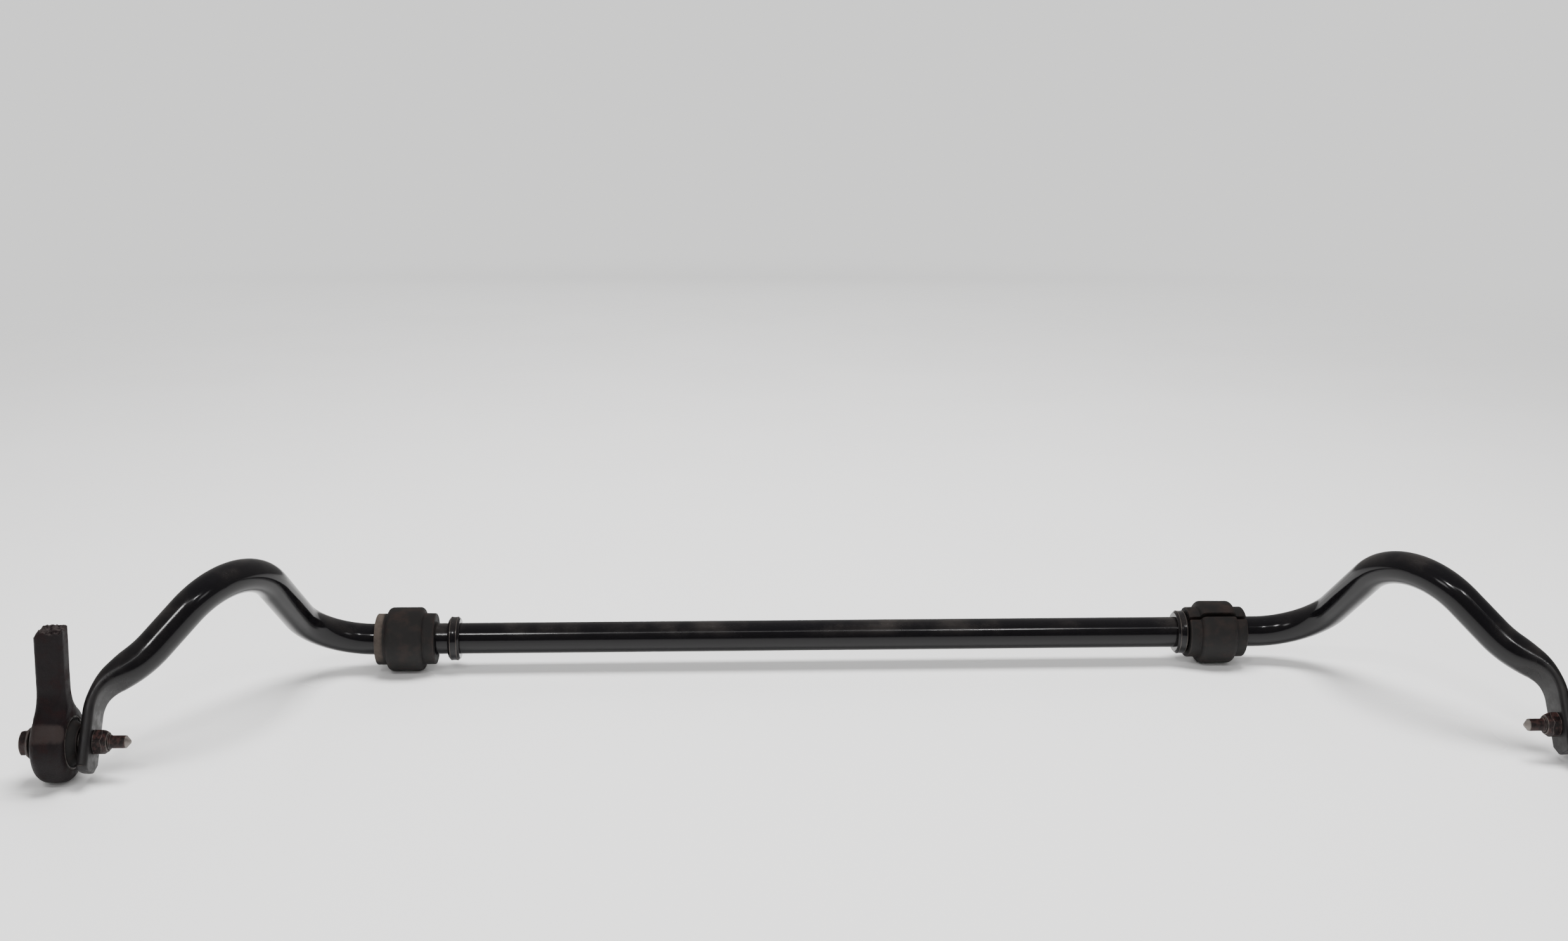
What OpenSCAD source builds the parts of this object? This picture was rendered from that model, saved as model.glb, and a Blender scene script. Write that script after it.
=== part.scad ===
// Vehicle sway bar (anti-roll bar): a round bar with two humped arms, two stop rings, two
// split frame bushes, and the lower half of a torn-off drop link bolted to each end.
// The origin is on the bar's axis, half way along it. X runs along the bar, the arms reach
// towards -Y, and +Z is up as the bar lies on its two frame bushes and its two link eyes.

/* [Bar] */
// Diameter of the round bar
bar_d = 28; // [22:0.5:32]
// Distance from the middle to where the first bend starts
straight_half = 401; // [401:1:460]
// Radius of the first bend, where the arm leaves the straight
root_bend_r = 60; // [50:1:70]
// Radius over the top of the hump
hump_bend_r = 67; // [50:1:72]
// Radius of the slight bend below the hump
shin_bend_r = 90; // [60:1:130]
// Radius of the bend into the flattened end
heel_bend_r = 40; // [30:1:44]

/* [Arm route] */
// Hump corner, outwards of the start of the first bend
hump_out = 79; // [70:1:100]
// Hump corner, forwards of the bar's axis
hump_forward = 126; // [115:1:140]
// Hump corner, above the bar's axis
hump_rise = 123; // [110:1:135]
// Shin corner, outwards of the start of the first bend
shin_out = 142; // [138:1:148]
// Shin corner, forwards of the bar's axis
shin_forward = 183; // [176:1:190]
// Shin corner, above the bar's axis
shin_rise = 54; // [48:1:62]
// Flattened end, outwards of the start of the first bend
eye_out = 174; // [170:1:186]
// Heel corner, forwards of the bar's axis
heel_forward = 209; // [203:1:213]
// Heel corner, above the bar's axis
heel_rise = 33.5; // [30:0.5:38]
// Bolt axis, forwards of the bar's axis
eye_forward = 230; // [226:1:250]
// Bolt axis, above the bar's axis
eye_rise = 1.5; // [-6:0.5:6]

/* [Flattened end] */
// Thickness of the flattened end
pad_t = 8.5; // [7:0.5:12]
// Width of the flattened end
pad_w = 29; // [26:1:38]
// Length of the flattened end beyond the bolt axis
pad_end = 23; // [20:0.5:28]
// Size of the cut corner at the front of the flattened end
pad_corner_front = 3; // [1:0.5:8]
// Size of the cut corner at the back of the flattened end
pad_corner_back = 7; // [1:0.5:9]
// Radial clearance around the bolt in the flattened end
pad_hole_gap = 0.5; // [0.2:0.1:1]

/* [Stop rings] */
// Distance from the middle to the centre of a stop ring
ring_x = 331; // [250:1:331]
// Outer diameter of a stop ring
ring_d = 39.6; // [36:0.2:44]
// Width of a stop ring at its foot
ring_w = 10; // [8:0.5:14]
// Chamfer around both rims of a stop ring
ring_chamfer = 2; // [1:0.1:2.5]
// How deeply the crimped ring bites into the bar
ring_bite = 0.05; // [0.01:0.01:0.1]

/* [Frame bushes] */
// Length of a frame bush
bush_len = 52.5; // [46:0.5:53]
// Diameter of a frame bush's shoulders
bush_shoulder_d = 46; // [42:0.5:50]
// Diameter of a frame bush's clamping band
bush_band_d = 57; // [54:0.5:62]
// Width of the clamping band
bush_band_w = 32.5; // [26:0.5:38]
// Radius of the band's rims
bush_band_r = 4.5; // [2:0.5:5]
// Chamfer around the ends of the shoulders
bush_end_chamfer = 1.2; // [0.5:0.1:2]
// Opening of the lengthwise slit at the outside
slit_open = 4.5; // [2:0.5:6]
// Opening of the slit at the bar
slit_root = 1.6; // [1:0.1:3]
// Turn of the left bush's slit from straight up, towards the front
slit_turn_left = 215; // [0:1:359]
// Turn of the right bush's slit from straight up, towards the front
slit_turn_right = 37; // [0:1:359]
// Gap between the left ring and its bush, which has slid outwards
bush_slip_left = 11.5; // [0.5:0.5:12]
// Gap between the right ring and its bush
bush_slip_right = 0.5; // [0.5:0.5:12]
// Radial running clearance between the bar and a frame bush
bush_gap = 0.05; // [0.02:0.01:0.1]

/* [Drop links] */
// Outer diameter of the link's eye
eye_d = 60; // [56:1:66]
// Thickness of the link's eye along the bolt
eye_t = 25; // [20:0.5:26]
// Thickness of the link's shank along the bolt
link_t = 21.5; // [18:0.5:23]
// Radius of the eye's rounded rims
eye_edge_r = 8; // [4:0.5:8.5]
// Depth of the link's shank, front to back
shank_w = 16.5; // [13:0.5:20]
// Radius of the shank's rounded edges
shank_edge_r = 3.5; // [2:0.5:5]
// Radius of the hollow between shank and eye
neck_r = 28; // [12:1:32]
// Lean of the shank towards the bar, off square to the bolt
shank_lean = 2.5; // [0:0.5:5]
// Height of the torn end above the bolt axis
shank_h = 93; // [70:1:120]
// How deep the torn end is
tear_depth = 5; // [2:0.5:8]
// Diameter of the bore in the link's eye
eye_bore_d = 41; // [38:0.5:43]

/* [Link bush] */
// Wall of the steel shell pressed into the eye
shell_wall = 1.5; // [1:0.1:2]
// How far each pressed or bonded face bites into the next
press_bite = 0.03; // [0.01:0.01:0.05]
// Outer diameter of the inner steel sleeve
sleeve_d = 19; // [17:0.5:22]
// Length of the inner sleeve between the flattened end and the bolt head
sleeve_len = 38; // [34:0.5:42]
// Distance from the flattened end to the middle of the link's eye
link_offset = 19.4; // [18:0.2:22]
// Gap between the ends of the rubber's lips and the faces beside them
lip_gap = 1.5; // [1:0.1:4]
// Radial running clearance between rubber and inner sleeve
rubber_gap = 0.05; // [0.02:0.01:0.1]

/* [Bolts and nuts] */
// Thread diameter of the bolt
bolt_d = 12; // [10:1:14]
// Width across flats of the bolt head and the nut
hex_af = 18; // [16:0.5:21]
// Diameter of the bolt head's flange
flange_d = 24; // [23:0.5:28]
// Thickness of the bolt head's flange at its rim
flange_t = 1.6; // [1:0.1:2.5]
// Height of the flange's cone towards the hexagon
flange_cone = 1.6; // [1:0.1:2.5]
// Height of the whole bolt head
head_h = 7.8; // [6:0.1:12]
// Height of the nut
nut_h = 10.4; // [8:0.1:13]
// Thread left standing out of the nut
thread_out = 2; // [1:0.5:6]
// Diameter of the bolt's plain pilot point
pilot_d = 9.8; // [8:0.1:11]
// Length of the pilot point's straight part
pilot_len = 11; // [6:0.5:14]
// Length of the pilot point's cone
pilot_cone = 3.6; // [2:0.1:5]
// Radial clearance between nut and bolt
nut_gap = 0.04; // [0.02:0.01:0.08]
// Radial clearance between bolt and inner sleeve
sleeve_gap = 0.4; // [0.2:0.1:0.8]

/* [Hidden] */
LEFT = -1;
RIGHT = 1;
// Places of the corners in the arm's route
ROOT = 1;
SHIN = 3;
HEEL = 4;
paint_black = [0.05, 0.05, 0.06];
rubber_black = [0.16, 0.16, 0.17];
forging_brown = [0.2, 0.16, 0.15];
bolt_brown = [0.3, 0.2, 0.17];
bright_steel = [0.6, 0.6, 0.62];
bore_fn = 96;
corner_steps = 6;
ring_points = 24;
bend_step = 8;
// Share of the way from the shin bend to the end of the heel bend by which the flattening is complete
flat_by = 0.8;
// The arm's skin starts inside the straight bar, comes out of it, and is a little fuller there
seam_inside = 2.5;
seam_outside = 0.3;
seam_swell = 0.4;
// How far a cut runs past the faces that it opens
cut_over = 1;
hex_r = hex_af / 2 / cos(30);
hex_chamfer = 1.3;
// Lean of the chamfer on a hexagon's corners
hex_lean = 28;
hex_top_r = hex_r - hex_chamfer / tan(hex_lean);
shell_in_r = eye_bore_d / 2 - shell_wall;
pad_hole_r = bolt_d / 2 + pad_hole_gap;
sleeve_in_r = bolt_d / 2 + sleeve_gap;
nut_in_r = bolt_d / 2 + nut_gap;
// Flat end of the rubber's lip, and the rounding of its foot at the eye's face
lip_w = 3;
lip_foot = 1;
// Radius of the bolt's blunt point
point_r = 1;

// Height and depth of the hollow that joins the shank to the eye
neck_top = sqrt(pow(eye_d / 2 + neck_r, 2) - pow(shank_w / 2 + neck_r, 2));
neck_foot = neck_top * (eye_d / 2) / (eye_d / 2 + neck_r);
// How much thinner the neck is where it leaves the eye, and how deep it starts inside it
neck_thin = 1;
neck_root = 5;
// Edge of the break from side to side and from front to back, as shares of the half width and
// depths below the top
tear_side = [[-1, 2], [-0.6, 1.8], [-0.4, 0.8], [-0.15, 1.4], [0.1, 0], [0.4, 0.6], [0.55, 3.8], [1, 6]];
tear_front = [[-1, 2], [-0.6, 0.5], [-0.2, 1.2], [0.2, 0.2], [0.6, 1.6], [1, 3]];

// Corners of the right arm's centre line, from the middle of the bar to the bolt axis
pad_x = straight_half + eye_out;
hump = [straight_half + hump_out, -hump_forward, hump_rise];
shin = [straight_half + shin_out, -shin_forward, shin_rise];
heel = [pad_x, -heel_forward, heel_rise];
eye = [pad_x, -eye_forward, eye_rise];
root = [root_corner(straight_half + root_bend_r, 12), 0, 0];
route = [[0, 0, 0], root, hump, shin, heel, eye];
bend_r = [0, root_bend_r, hump_bend_r, shin_bend_r, heel_bend_r, 0];
pad_turn = atan2(eye.z - heel.z, eye.y - heel.y);

// Stations along the bolt, measured outwards from the bar's middle plane
pad_out = pad_x + pad_t / 2;
pad_in = pad_x - pad_t / 2;
eye_x = pad_out + link_offset;
seat_x = pad_out + sleeve_len;
nut_end = pad_in - nut_h;
thread_end = nut_end - thread_out;
pilot_end = thread_end - pilot_len;
tip_x = pilot_end - pilot_cone;

function unit(v) = v / norm(v);
function angle_between(a, b) = acos(min(1, max(-1, unit(a) * unit(b))));
// Tangent length of the bend at corner i of the route
function reach(i) = bend_r[i] * tan(angle_between(route[i] - route[i - 1], route[i + 1] - route[i]) / 2);
// Corner that starts the first bend just at straight_half, found by repeating n times
function root_corner(x, n) = n == 0 ? x
    : root_corner(straight_half + root_bend_r * tan(angle_between([1, 0, 0], hump - [x, 0, 0]) / 2), n - 1);
function bend_in(i) = route[i] - unit(route[i] - route[i - 1]) * reach(i);
function bend_out(i) = route[i] + unit(route[i + 1] - route[i]) * reach(i);
function bend_angle(i) = angle_between(route[i] - route[i - 1], route[i + 1] - route[i]);
function bend_inward(i) = let (a = unit(route[i] - route[i - 1]), b = unit(route[i + 1] - route[i]))
    unit(b - a * (a * b));
function bend_centre(i) = bend_in(i) + bend_inward(i) * bend_r[i];
// Point and direction of the bend at corner i, turned by the angle t from its start
function bend_point(i, t) = let (a = unit(route[i] - route[i - 1]))
    bend_centre(i) + bend_r[i] * (a * sin(t) - bend_inward(i) * cos(t));
function bend_dir(i, t) = unit(route[i] - route[i - 1]) * cos(t) + bend_inward(i) * sin(t);
function ease(t) = t * t * (3 - 2 * t);
function mix(a, b, t) = a + (b - a) * t;
// Quarter turn of n steps around a centre, for the corners of an outline
function arc(c, r, from, to, n = corner_steps) =
    [for (k = [0 : n]) let (a = mix(from, to, k / n)) c + r * [cos(a), sin(a)]];

// Outline of a flattened bar: thickness 2a, width 2b, round edges
function flat_section(a, b, n = ring_points) =
    [for (i = [0 : n - 1]) let (t = (i + 0.5) * 360 / n) [a * cos(t), a * sin(t) + (b - a) * sign(sin(t))]];
// Outline of a block w by d with rounded corners, 8 points a corner
function block_section(w, d, r) = let (x = w / 2 - r, y = d / 2 - r)
    concat(arc([x, y], r, 0, 90, 7), arc([-x, y], r, 90, 180, 7),
           arc([-x, -y], r, 180, 270, 7), arc([x, -y], r, 270, 360, 7));
// Direction square to t and nearest to X; where t is X itself, the outside of the first bend
function across(t) = let (u = [1, 0, 0] - t * t.x) norm(u) < 0.01 ? -bend_inward(ROOT) : unit(u);
// Outline placed at p, square to direction t, with its first axis nearest to X
function place_section(s, p, t) = let (u = across(t), v = cross(t, u))
    [for (q = s) p + u * q.x + v * q.y];

// Closed skin over a row of outlines that all have the same number of points
module loft(rows) {
    n = len(rows[0]);
    m = len(rows);
    polyhedron(points = [for (r = rows) each r],
        faces = concat([[for (i = [0 : n - 1]) i]],
            [for (j = [0 : m - 2]) for (i = [0 : n - 1]) let (a = j * n, b = a + n, k = (i + 1) % n)
                each [[a + i, b + k, a + k], [a + i, b + i, b + k]]],
            [[for (i = [n - 1 : -1 : 0]) (m - 1) * n + i]]));
}

module on_side(side) {
    if (side == LEFT) mirror([1, 0, 0]) children();
    else children();
}

// Turns a shape drawn along +Z so that it lies along +X
module along_x() {
    rotate([0, 90, 0]) children();
}

// Places and directions along the bend at corner i, one every bend_step or closer
function bend_stations(i, first = 0) = let (n = ceil(bend_angle(i) / bend_step), turn = bend_angle(i) / n)
    [for (k = [first : n]) [bend_point(i, turn * k), bend_dir(i, turn * k)]];
// The same along the straight from shin to heel, without its ends
function lead_stations(n) =
    [for (k = [1 : n - 1]) [mix(bend_out(SHIN), bend_in(HEEL), k / n), unit(heel - shin)]];
// From the end of the shin bend the bar flattens from round to pad_t by pad_w
function flatness(p) = let (whole = norm(bend_out(HEEL) - bend_out(SHIN)) * flat_by)
    ease(min(1, norm(p - bend_out(SHIN)) / whole));
function bar_row(place, thick, wide) = place_section(flat_section(thick / 2, wide / 2), place[0], place[1]);
function round_row(place, swell = 0) = bar_row(place, bar_d + 2 * swell, bar_d + 2 * swell);
function flat_row(place) = let (f = flatness(place[0]))
    bar_row(place, mix(bar_d, pad_t, f), mix(bar_d, pad_w, f));

module arm_skin() {
    along_pad = unit(eye - heel);
    loft(concat(
        [round_row([[straight_half - seam_inside, 0, 0], [1, 0, 0]], -2 * seam_swell),
         round_row([[straight_half + seam_outside, 0, 0], [1, 0, 0]], seam_swell)],
        [for (i = [ROOT : SHIN], s = bend_stations(i, i == ROOT ? 1 : 0)) round_row(s)],
        [for (s = concat(lead_stations(4), bend_stations(HEEL))) flat_row(s)],
        [bar_row([eye + along_pad * pad_end, along_pad], pad_t, pad_w)]));
}

module arm() {
    difference() {
        arm_skin();
        translate(eye) rotate([pad_turn, 0, 0]) rotate([90, 0, 90]) {
            cylinder(h = pad_t + 2 * cut_over, r = pad_hole_r, center = true, $fn = bore_fn);
            pad_cut(1, pad_corner_back);
            pad_cut(-1, pad_corner_front);
        }
    }
}

// Wedge that takes a corner of size c off the end, at its edge towards +Y or -Y
module pad_cut(side, c) {
    far = pad_end + cut_over;
    edge = pad_w / 2 + cut_over;
    cut = c + 2 * cut_over;
    linear_extrude(pad_t + 2 * cut_over, center = true)
        polygon([[far - cut, side * edge], [far, side * (edge - cut)], [far, side * edge]]);
}

module bar() {
    color(paint_black) union() {
        translate([-straight_half, 0, 0]) along_x()
            cylinder(h = 2 * straight_half, d = bar_d, $fn = bore_fn);
        for (s = [LEFT, RIGHT]) on_side(s) arm();
    }
}

module stop_ring() {
    inner = bar_d / 2 - ring_bite;
    outer = ring_d / 2;
    half = ring_w / 2;
    translate([ring_x, 0, 0]) along_x() rotate_extrude($fn = bore_fn)
        polygon([[inner, -half], [outer - ring_chamfer, -half], [outer, ring_chamfer - half],
                 [outer, half - ring_chamfer], [outer - ring_chamfer, half], [inner, half]]);
}

module stop_ring_left() {
    color(paint_black) on_side(LEFT) stop_ring();
}

module stop_ring_right() {
    color(paint_black) on_side(RIGHT) stop_ring();
}

// Split rubber bush, centred on the origin along +Z, with its slit towards +X
module frame_bush() {
    inner = bar_d / 2 + bush_gap;
    shoulder = bush_shoulder_d / 2;
    band = bush_band_d / 2;
    half = bush_len / 2;
    foot = bush_band_w / 2;
    difference() {
        rotate_extrude($fn = bore_fn)
            polygon(concat(
                [[inner, -half], [shoulder - bush_end_chamfer, -half], [shoulder, bush_end_chamfer - half],
                 [shoulder, -foot]],
                arc([band - bush_band_r, bush_band_r - foot], bush_band_r, -90, 0),
                arc([band - bush_band_r, foot - bush_band_r], bush_band_r, 0, 90),
                [[shoulder, foot], [shoulder, half - bush_end_chamfer], [shoulder - bush_end_chamfer, half],
                 [inner, half]]));
        translate([0, 0, -half - cut_over]) linear_extrude(bush_len + 2 * cut_over)
            polygon([[inner / 2, -slit_root / 2], [band + cut_over, -slit_open / 2],
                     [band + cut_over, slit_open / 2], [inner / 2, slit_root / 2]]);
    }
}

function bush_x(slip) = ring_x + ring_w / 2 + slip + bush_len / 2;

module frame_bush_left() {
    color(rubber_black) translate([-bush_x(bush_slip_left), 0, 0]) rotate([slit_turn_left, 0, 0])
        rotate([0, -90, 0]) frame_bush();
}

module frame_bush_right() {
    color(rubber_black) translate([bush_x(bush_slip_right), 0, 0]) rotate([slit_turn_right, 0, 0])
        rotate([0, -90, 0]) frame_bush();
}

// Depth of the link, front to back, at a height in the neck
function neck_w(z) = shank_w + 2 * (neck_r - sqrt(pow(neck_r, 2) - pow(neck_top - z, 2)));

module link() {
    r = eye_d / 2;
    half = eye_t / 2;
    translate([eye_x, eye.y, eye.z]) difference() {
        union() {
            along_x() rotate_extrude($fn = bore_fn)
                polygon(concat([[eye_bore_d / 2, -half]],
                    arc([r - eye_edge_r, eye_edge_r - half], eye_edge_r, -90, 0),
                    arc([r - eye_edge_r, half - eye_edge_r], eye_edge_r, 0, 90),
                    [[eye_bore_d / 2, half]]));
            difference() {
                loft(concat([neck_start()], [for (k = [0 : 8]) neck_row(k / 8)],
                    [link_row(shank_h + cut_over, link_t, shank_w, shank_edge_r)]));
                translate([lean_x(shank_h), 0, 0]) tear();
            }
        }
        along_x() cylinder(h = eye_t + 2 * cut_over, d = eye_bore_d, center = true, $fn = bore_fn);
    }
}

function lean_x(z) = -max(0, z - neck_foot) * tan(shank_lean);
function link_row(z, t, w, r) =
    [for (q = block_section(t, w, min(r, w / 2 - 0.1))) [q.x + lean_x(z), q.y, z]];
// Rows of the neck from inside the eye's rounded rim up to the plain shank
function neck_start() = let (w = neck_w(neck_foot) - neck_thin)
    link_row(neck_foot - neck_root, eye_t - 2 * neck_thin, w, eye_edge_r);
function neck_row(t) = let (z = mix(neck_foot, neck_top, t), thick = mix(eye_t - neck_thin, link_t, ease(t)))
    link_row(z, thick, neck_w(z), mix(eye_edge_r, shank_edge_r, t));

// What is missing above the torn end of the shank: two jagged edges that cross each other
module tear() {
    wide = link_t / 2 + 2;
    deep = shank_w / 2 + cut_over;
    translate([0, deep, 0]) rotate([90, 0, 0]) linear_extrude(2 * deep) torn_edge(tear_side, wide);
    translate([-wide, 0, 0]) rotate([90, 0, 90]) linear_extrude(2 * wide) torn_edge(tear_front, deep);
}

// Outline of what lies above a jagged edge, up to well over the shank
module torn_edge(edge, half) {
    deepest = max([for (e = edge) e[1]]);
    clear = shank_h + tear_depth;
    polygon(concat([for (e = edge) [e[0] * half, shank_h - e[1] * min(1, tear_depth / deepest)]],
                   [[half, clear], [-half, clear]]));
}

module link_left() {
    color(forging_brown) on_side(LEFT) link();
}

module link_right() {
    color(forging_brown) on_side(RIGHT) link();
}

// Draws along the bolt, from the middle of the link's eye
module at_eye() {
    translate([eye_x, eye.y, eye.z]) along_x() children();
}

// Draws along the bolt, from the outer face of the flattened end
module at_sleeve() {
    translate([pad_out, eye.y, eye.z]) along_x() children();
}

module bush_shell() {
    at_eye() difference() {
        cylinder(h = eye_t, r = eye_bore_d / 2 + press_bite, center = true, $fn = bore_fn);
        cylinder(h = eye_t + 2 * cut_over, r = shell_in_r, center = true, $fn = bore_fn);
    }
}

module bush_shell_left() {
    color(bright_steel) on_side(LEFT) bush_shell();
}

module bush_shell_right() {
    color(bright_steel) on_side(RIGHT) bush_shell();
}

module link_rubber() {
    inner = sleeve_d / 2 + rubber_gap;
    outer = shell_in_r + press_bite;
    near = link_offset - eye_t / 2;
    far = link_offset + eye_t / 2;
    at_sleeve() rotate_extrude($fn = bore_fn)
        polygon([[inner, lip_gap], [inner + lip_w, lip_gap], [outer - lip_foot, near],
                 [outer, near + lip_foot], [outer, far - lip_foot], [outer - lip_foot, far],
                 [inner + lip_w, sleeve_len - lip_gap], [inner, sleeve_len - lip_gap]]);
}

module link_rubber_left() {
    color(rubber_black) on_side(LEFT) link_rubber();
}

module link_rubber_right() {
    color(rubber_black) on_side(RIGHT) link_rubber();
}

module inner_sleeve() {
    at_sleeve() difference() {
        cylinder(h = sleeve_len, d = sleeve_d, $fn = bore_fn);
        translate([0, 0, -cut_over]) cylinder(h = sleeve_len + 2 * cut_over, r = sleeve_in_r, $fn = bore_fn);
    }
}

module inner_sleeve_left() {
    color(bright_steel) on_side(LEFT) inner_sleeve();
}

module inner_sleeve_right() {
    color(bright_steel) on_side(RIGHT) inner_sleeve();
}

// Hexagon prism from z = 0 to h with the corners of its top turned down
module hexagon(h) {
    intersection() {
        cylinder(h = h, r = hex_r, $fn = 6);
        union() {
            cylinder(h = h - hex_chamfer, r = hex_r + cut_over, $fn = bore_fn);
            translate([0, 0, h - hex_chamfer])
                cylinder(h = hex_chamfer, r1 = hex_r, r2 = hex_top_r, $fn = bore_fn);
        }
    }
}

module bolt() {
    translate([0, eye.y, eye.z]) union() {
        translate([thread_end, 0, 0]) along_x() cylinder(h = seat_x - thread_end, d = bolt_d, $fn = bore_fn);
        translate([pilot_end, 0, 0]) along_x() cylinder(h = pilot_len, d = pilot_d, $fn = bore_fn);
        translate([tip_x, 0, 0]) along_x()
            cylinder(h = pilot_cone, r1 = point_r, r2 = pilot_d / 2, $fn = bore_fn);
        translate([seat_x, 0, 0]) along_x() cylinder(h = flange_t, d = flange_d, $fn = bore_fn);
        translate([seat_x + flange_t, 0, 0]) along_x()
            cylinder(h = flange_cone, d1 = flange_d, d2 = hex_af, $fn = bore_fn);
        translate([seat_x + flange_t, 0, 0]) along_x() hexagon(head_h - flange_t);
    }
}

module bolt_left() {
    color(bolt_brown) on_side(LEFT) bolt();
}

module bolt_right() {
    color(bolt_brown) on_side(RIGHT) bolt();
}

module nut() {
    translate([pad_in, eye.y, eye.z]) rotate([0, -90, 0]) difference() {
        hexagon(nut_h);
        translate([0, 0, -cut_over]) cylinder(h = nut_h + 2 * cut_over, r = nut_in_r, $fn = bore_fn);
    }
}

module nut_left() {
    color(bolt_brown) on_side(LEFT) nut();
}

module nut_right() {
    color(bolt_brown) on_side(RIGHT) nut();
}

bar();
stop_ring_left();
stop_ring_right();
frame_bush_left();
frame_bush_right();
link_left();
link_right();
bush_shell_left();
bush_shell_right();
link_rubber_left();
link_rubber_right();
inner_sleeve_left();
inner_sleeve_right();
bolt_left();
bolt_right();
nut_left();
nut_right();
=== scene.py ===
import math

import bmesh
import bpy
import numpy as np
from mathutils import Matrix, Vector, noise


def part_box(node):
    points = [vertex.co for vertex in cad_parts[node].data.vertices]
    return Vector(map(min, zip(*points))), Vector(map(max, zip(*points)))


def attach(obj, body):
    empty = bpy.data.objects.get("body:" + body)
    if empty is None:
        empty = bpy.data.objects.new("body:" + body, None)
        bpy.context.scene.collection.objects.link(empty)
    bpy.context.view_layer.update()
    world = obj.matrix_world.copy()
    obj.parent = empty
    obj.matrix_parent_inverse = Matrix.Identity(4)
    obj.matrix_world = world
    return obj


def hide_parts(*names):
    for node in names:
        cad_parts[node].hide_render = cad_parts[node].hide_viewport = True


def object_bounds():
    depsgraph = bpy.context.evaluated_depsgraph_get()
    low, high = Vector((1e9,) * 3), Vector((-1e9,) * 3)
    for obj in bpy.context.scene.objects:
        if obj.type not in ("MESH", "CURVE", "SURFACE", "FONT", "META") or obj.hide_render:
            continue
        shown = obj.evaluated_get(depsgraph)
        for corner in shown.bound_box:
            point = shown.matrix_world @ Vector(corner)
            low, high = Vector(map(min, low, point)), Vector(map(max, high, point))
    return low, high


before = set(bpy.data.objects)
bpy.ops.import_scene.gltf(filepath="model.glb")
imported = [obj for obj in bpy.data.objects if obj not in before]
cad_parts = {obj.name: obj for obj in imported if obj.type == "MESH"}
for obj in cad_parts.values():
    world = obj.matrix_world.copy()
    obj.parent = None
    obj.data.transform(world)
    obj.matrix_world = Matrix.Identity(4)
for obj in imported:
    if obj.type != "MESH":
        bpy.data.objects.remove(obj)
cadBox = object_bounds()
print("frame loaded")

mm = 0.001
sides = {"left": -1, "right": 1}


class Socket:
    # A node's output that can be used in plain arithmetic
    def __init__(self, finish, out):
        self.finish = finish
        self.out = out

    def math(self, operation, first, second):
        return self.finish.node("Math", {"operation": operation}, {0: first, 1: second})

    def __add__(self, other):
        return self.math("ADD", self, other)

    def __sub__(self, other):
        return self.math("SUBTRACT", self, other)

    def __mul__(self, other):
        return self.math("MULTIPLY", self, other)

    def __rsub__(self, other):
        return self.math("SUBTRACT", other, self)

    __radd__ = __add__
    __rmul__ = __mul__


class Finish:
    # One material and the few things its surface is made from
    def __init__(self, name):
        self.material = bpy.data.materials.new(name)
        self.material.use_nodes = True
        self.tree = self.material.node_tree
        self.shader = self.tree.nodes["Principled BSDF"]

    def node(self, kind, settings, sockets, out=0):
        made = self.tree.nodes.new("ShaderNode" + kind)
        for key, value in settings.items():
            setattr(made, key, value)
        for key, value in sockets.items():
            self.feed(made.inputs[key], value)
        return Socket(self, made.outputs[out])

    def feed(self, socket, value):
        if isinstance(value, Socket):
            self.tree.links.new(value.out, socket)
        else:
            socket.default_value = (*value, 1) if socket.type == "RGBA" else value

    def place(self):
        return self.node("TexCoord", {}, {}, 3)

    def grain(self, size, detail=4, rough=0.55, stretch=(1, 1, 1)):
        spread = self.node("Mapping", {}, {"Vector": self.place(), "Scale": stretch})
        return self.node("TexNoise", {}, {"Vector": spread, "Scale": 1 / size, "Detail": detail,
                                          "Roughness": rough})

    def cells(self, size):
        return self.node("TexVoronoi", {}, {"Vector": self.place(), "Scale": 1 / size})

    def steps(self, value, low, high):
        return self.node("MapRange", {"interpolation_type": "SMOOTHSTEP"},
                         {"Value": value, "From Min": low, "From Max": high})

    def around(self, value, size, reach, detail=4):
        # A value made uneven by grain, up or down by half the reach
        return value + reach * (self.grain(size, detail) - 0.5)

    def mark(self, name):
        return self.node("Attribute", {"attribute_name": name}, {}, 2)

    def upward(self):
        normal = self.node("NewGeometry", {}, {}, 1)
        return self.node("SeparateXYZ", {}, {0: normal}, 2)

    def mix(self, share, first, second):
        return self.node("Mix", {"data_type": "RGBA"}, {0: share, 6: first, 7: second}, 2)

    def surface(self, **sockets):
        for name, value in sockets.items():
            self.feed(self.shader.inputs[name.replace("_", " ")], value)
        return self.material

    def bump(self, height, depth):
        return self.node("Bump", {}, {"Strength": 1, "Distance": depth, "Height": height})


blackPaint = {
    "base": (0.0048, 0.0045, 0.0052), "dust": (0.05, 0.043, 0.038), "bare": (0.11, 0.095, 0.085),
    "rough": 0.13, "dusty": 0.4, "grimy": 0.3, "chipped": 0.2, "gloss": 1.34, "bareMetal": 0.6,
    "bareShown": 0.55, "filmSize": 38 * mm, "filmDust": 0.32, "speckSize": 1.7 * mm, "speckDust": 0.2,
    "scuffSize": 5 * mm, "scuffPatch": 30 * mm, "scuffLong": (1, 5, 5), "scuffDust": 0.12,
    "chipSize": 2.5 * mm, "grimeSize": 7 * mm, "grimeDust": 0.09, "peel": 2.6 * mm, "peelDepth": 0.006 * mm}


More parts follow.
